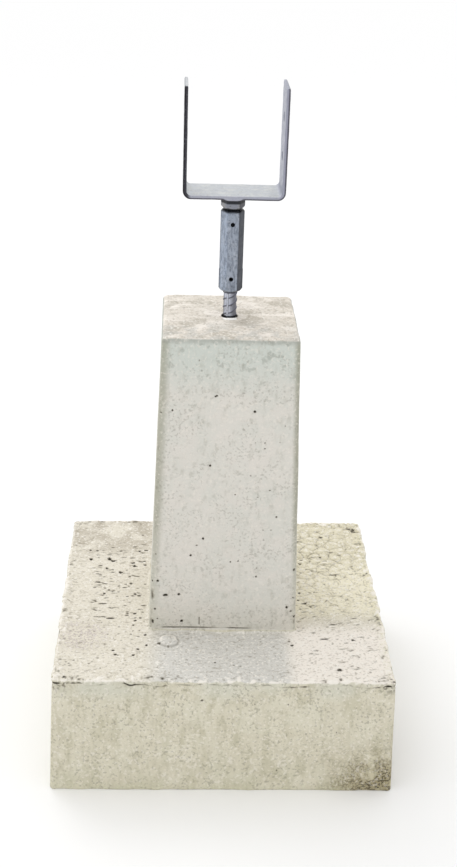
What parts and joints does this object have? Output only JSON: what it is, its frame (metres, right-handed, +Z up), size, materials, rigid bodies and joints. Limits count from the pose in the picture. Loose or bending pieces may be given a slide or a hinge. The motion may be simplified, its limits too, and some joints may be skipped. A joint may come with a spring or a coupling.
{
  "type": "column base block",
  "caption": "Precast concrete footing block, a square slab with a tapered square column, carrying a height-adjustable galvanised post shoe on a cast-in bar.",
  "frame": {"origin": "centre of the slab's underside, where the block stands on the ground", "axes": "+Z up along the column and the anchor bar; the pictured front faces -Y; the bracket's two cheeks stand at -X and +X"},
  "size_m": [0.4, 0.4, 0.7821],
  "materials": {
    "concrete": "matte",
    "ribbed_bar_steel": "matte",
    "galvanised_steel": "satin",
    "galvanised_strip": "satin"
  },
  "bodies": {
    "footing": {"concrete_block": "concrete", "anchor_bar": "ribbed_bar_steel", "sleeve_nut": "galvanised_steel"},
    "lock_nut_body": {"lock_nut": "galvanised_steel"},
    "post_shoe": {"threaded_stud": "galvanised_steel", "post_bracket": "galvanised_strip"}
  },
  "joints": [
    {"name": "shoe_height", "type": "slide", "parent": "footing", "child": "lock_nut_body", "axis": [0, 0, 1], "range_m": [0, 0.03]},
    {"name": "shoe_turn", "type": "hinge", "parent": "lock_nut_body", "child": "post_shoe", "pos_m": [0, 0, 0.66], "axis": [0, 0, 1], "range_deg": [0, 5400]}
  ],
  "couplings": [
    {"joint": "shoe_height", "follows": "shoe_turn", "m_per_rad": 0.0003183}
  ]
}
